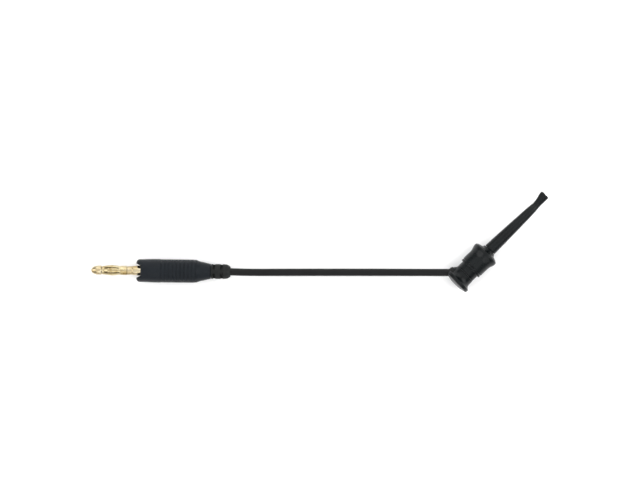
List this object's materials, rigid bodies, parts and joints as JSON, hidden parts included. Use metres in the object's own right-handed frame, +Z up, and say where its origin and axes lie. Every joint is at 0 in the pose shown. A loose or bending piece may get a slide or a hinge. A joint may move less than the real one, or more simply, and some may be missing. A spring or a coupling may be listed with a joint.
{
  "type": "test lead",
  "caption": "Short black test lead with a gold-plated 4 mm banana plug at one end and a plunger-type hook clip at the other.",
  "frame": {"origin": "on the surface that the lead lies on, under the middle of its bounding box", "axes": "+X from the plug to the clip along the cable, +Y to the side that the clip's nose leans to, +Z up"},
  "size_m": [0.1942, 0.043, 0.0121],
  "materials": {
    "gold_plate": "bright pale gold plating on brass",
    "copper_strand": "bare twisted copper strands",
    "spring_steel": "bright drawn steel",
    "inner_mould": "hard matt moulding, hidden",
    "handle_plastic": "satin black moulded plastic",
    "soft_rubber": "soft matt black elastomer",
    "cable_jacket": "satin black flexible jacket",
    "clip_nylon": "semi-gloss black moulded nylon"
  },
  "bodies": {
    "lead": {"plug_pin": "gold_plate", "plug_conductor": "copper_strand", "plug_jacket_ferrule": "spring_steel", "plug_core_mould": "inner_mould", "plug_handle": "handle_plastic", "plug_strain_relief": "soft_rubber", "cable": "cable_jacket", "cable_bush": "soft_rubber", "thumb_cap": "clip_nylon", "clip_conductor": "copper_strand", "contact_terminal": "gold_plate", "plunger": "clip_nylon", "rear_washer": "spring_steel", "return_spring": "spring_steel", "hook_wire": "gold_plate"},
    "barrel": {"front_washer": "spring_steel", "retaining_ring": "clip_nylon", "finger_body": "clip_nylon", "nose_tube": "clip_nylon"},
    "spring_cage": {"plug_spring_cage": "gold_plate"}
  },
  "joints": [
    {"name": "barrel_slide", "type": "slide", "parent": "lead", "child": "barrel", "axis": [-0.7205, -0.6934, -0.003], "range_m": [0, 0.0027], "stiffness_N_per_m": 300, "springref_m": -0.004, "deforming": ["return_spring"]},
    {"name": "spring_cage_spin", "type": "hinge", "parent": "lead", "child": "spring_cage", "pos_m": [-0.087, -0.01225, 0.00495], "axis": [0.9999, -0.0122, 0], "continuous": true}
  ]
}
